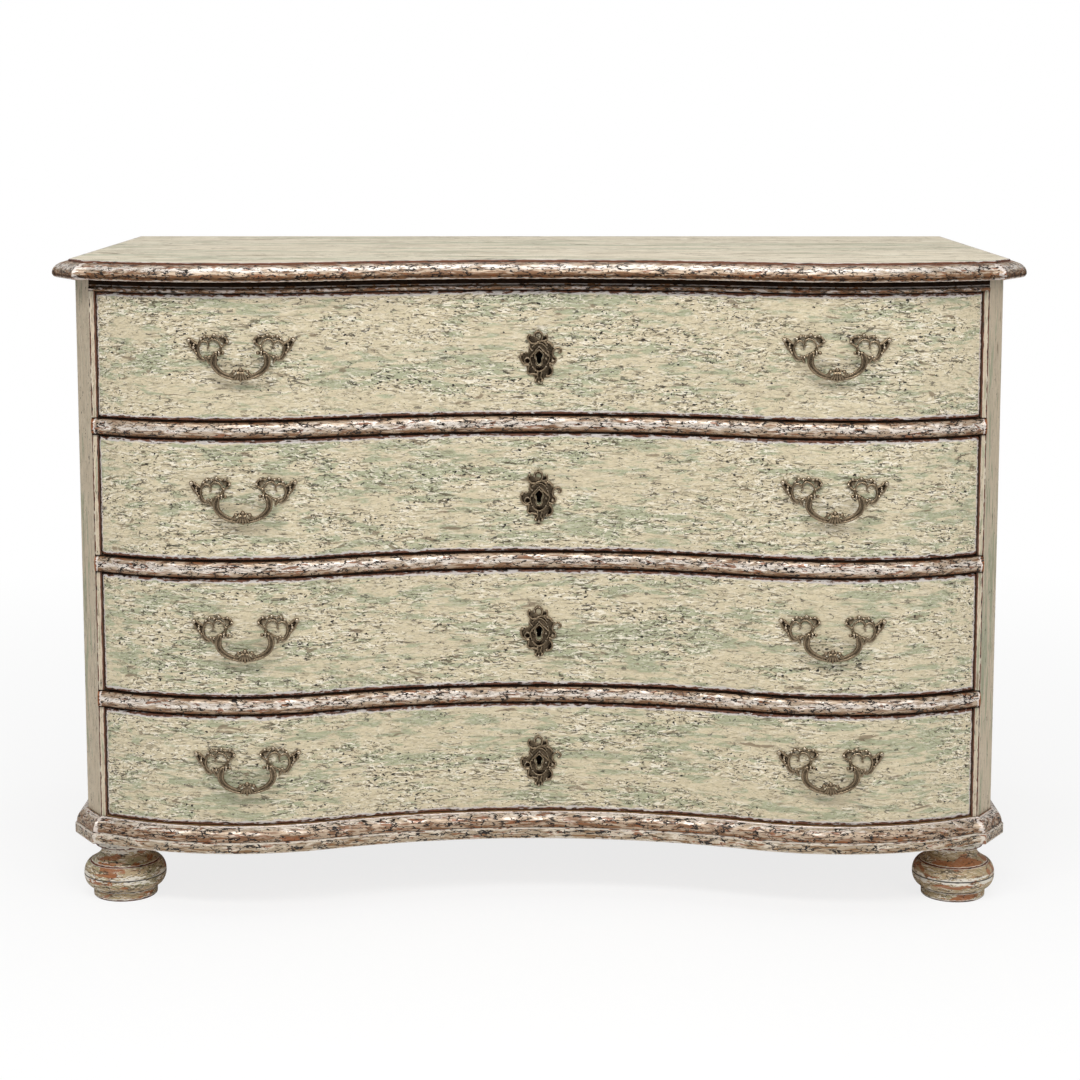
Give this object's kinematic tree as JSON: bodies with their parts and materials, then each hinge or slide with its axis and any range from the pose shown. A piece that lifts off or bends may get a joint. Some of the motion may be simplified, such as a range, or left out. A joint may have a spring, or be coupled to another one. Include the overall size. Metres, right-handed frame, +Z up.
{
  "type": "chest of drawers",
  "caption": "Chest of drawers with a serpentine front, canted corners, moulded top, rails and base, bun feet, drop bail handles and scrolled keyhole plates.",
  "frame": {"origin": "on the floor, under the middle of the whole chest's bounding box", "axes": "+Z up, +X to the right as seen from the front, the drawers open towards -Y"},
  "size_m": [1.286, 0.695, 0.8653],
  "materials": {
    "top_paint": "distressed cream and sage paint, crackled, satin",
    "drawer_paint": "distressed cream and sage paint over red bole, fine crackle, satin",
    "worn_white": "silvery white paint rubbed through to red brown wood",
    "cant_paint": "beige grey paint brushed along an upright grain",
    "foot_paint": "green cream paint worn to rust brown wood",
    "bronze": "cast brass with a dark antique patina and rubbed highlights",
    "iron": "old dark iron",
    "pine": "bare aged pine"
  },
  "bodies": {
    "root": {"top_board": "top_paint", "frieze_rail": "worn_white", "divider_1": "worn_white", "divider_2": "worn_white", "divider_3": "worn_white", "base_moulding": "worn_white", "bottom_board": "pine", "back_panel": "pine", "left_side_panel": "cant_paint", "right_side_panel": "cant_paint", "left_corner_post": "cant_paint", "right_corner_post": "cant_paint", "front_left_foot": "foot_paint", "front_right_foot": "foot_paint", "back_left_foot": "foot_paint", "back_right_foot": "foot_paint"},
    "drawer_1_left_handle_bail": {"drawer_1_left_handle_bail": "bronze"},
    "drawer_1_right_handle_bail": {"drawer_1_right_handle_bail": "bronze"},
    "drawer_1": {"drawer_1_front": "drawer_paint", "drawer_1_box": "pine", "drawer_1_bottom": "pine", "drawer_1_lock": "iron", "drawer_1_escutcheon": "bronze", "drawer_1_left_handle_left_plate": "bronze", "drawer_1_left_handle_right_plate": "bronze", "drawer_1_right_handle_left_plate": "bronze", "drawer_1_right_handle_right_plate": "bronze"},
    "drawer_2_left_handle_bail": {"drawer_2_left_handle_bail": "bronze"},
    "drawer_2_right_handle_bail": {"drawer_2_right_handle_bail": "bronze"},
    "drawer_2": {"drawer_2_front": "drawer_paint", "drawer_2_box": "pine", "drawer_2_bottom": "pine", "drawer_2_lock": "iron", "drawer_2_escutcheon": "bronze", "drawer_2_left_handle_left_plate": "bronze", "drawer_2_left_handle_right_plate": "bronze", "drawer_2_right_handle_left_plate": "bronze", "drawer_2_right_handle_right_plate": "bronze"},
    "drawer_3_left_handle_bail": {"drawer_3_left_handle_bail": "bronze"},
    "drawer_3_right_handle_bail": {"drawer_3_right_handle_bail": "bronze"},
    "drawer_3": {"drawer_3_front": "drawer_paint", "drawer_3_box": "pine", "drawer_3_bottom": "pine", "drawer_3_lock": "iron", "drawer_3_escutcheon": "bronze", "drawer_3_left_handle_left_plate": "bronze", "drawer_3_left_handle_right_plate": "bronze", "drawer_3_right_handle_left_plate": "bronze", "drawer_3_right_handle_right_plate": "bronze"},
    "drawer_4_left_handle_bail": {"drawer_4_left_handle_bail": "bronze"},
    "drawer_4_right_handle_bail": {"drawer_4_right_handle_bail": "bronze"},
    "drawer_4": {"drawer_4_front": "drawer_paint", "drawer_4_box": "pine", "drawer_4_bottom": "pine", "drawer_4_lock": "iron", "drawer_4_escutcheon": "bronze", "drawer_4_left_handle_left_plate": "bronze", "drawer_4_left_handle_right_plate": "bronze", "drawer_4_right_handle_left_plate": "bronze", "drawer_4_right_handle_right_plate": "bronze"}
  },
  "joints": [
    {"name": "drawer_1_slide", "type": "slide", "parent": "root", "child": "drawer_1", "axis": [0, -1, 0], "range_m": [0, 0.42]},
    {"name": "drawer_1_left_handle_bail_hinge", "type": "hinge", "parent": "drawer_1", "child": "drawer_1_left_handle_bail", "pos_m": [-0.38413, -0.33234, 0.75015], "axis": [-0.9982, -0.06, 0], "range_deg": [0, 175]},
    {"name": "drawer_1_right_handle_bail_hinge", "type": "hinge", "parent": "drawer_1", "child": "drawer_1_right_handle_bail", "pos_m": [0.38413, -0.33234, 0.75015], "axis": [-0.9982, 0.06, 0], "range_deg": [0, 175]},
    {"name": "drawer_2_slide", "type": "slide", "parent": "root", "child": "drawer_2", "axis": [0, -1, 0], "range_m": [0, 0.42]},
    {"name": "drawer_2_left_handle_bail_hinge", "type": "hinge", "parent": "drawer_2", "child": "drawer_2_left_handle_bail", "pos_m": [-0.38413, -0.33234, 0.56335], "axis": [-0.9982, -0.06, 0], "range_deg": [0, 175]},
    {"name": "drawer_2_right_handle_bail_hinge", "type": "hinge", "parent": "drawer_2", "child": "drawer_2_right_handle_bail", "pos_m": [0.38413, -0.33234, 0.56335], "axis": [-0.9982, 0.06, 0], "range_deg": [0, 175]},
    {"name": "drawer_3_slide", "type": "slide", "parent": "root", "child": "drawer_3", "axis": [0, -1, 0], "range_m": [0, 0.42]},
    {"name": "drawer_3_left_handle_bail_hinge", "type": "hinge", "parent": "drawer_3", "child": "drawer_3_left_handle_bail", "pos_m": [-0.38413, -0.33234, 0.38], "axis": [-0.9982, -0.06, 0], "range_deg": [0, 175]},
    {"name": "drawer_3_right_handle_bail_hinge", "type": "hinge", "parent": "drawer_3", "child": "drawer_3_right_handle_bail", "pos_m": [0.38413, -0.33234, 0.38], "axis": [-0.9982, 0.06, 0], "range_deg": [0, 175]},
    {"name": "drawer_4_slide", "type": "slide", "parent": "root", "child": "drawer_4", "axis": [0, -1, 0], "range_m": [0, 0.42]},
    {"name": "drawer_4_left_handle_bail_hinge", "type": "hinge", "parent": "drawer_4", "child": "drawer_4_left_handle_bail", "pos_m": [-0.38413, -0.33234, 0.20195], "axis": [-0.9982, -0.06, 0], "range_deg": [0, 175]},
    {"name": "drawer_4_right_handle_bail_hinge", "type": "hinge", "parent": "drawer_4", "child": "drawer_4_right_handle_bail", "pos_m": [0.38413, -0.33234, 0.20195], "axis": [-0.9982, 0.06, 0], "range_deg": [0, 175]}
  ]
}
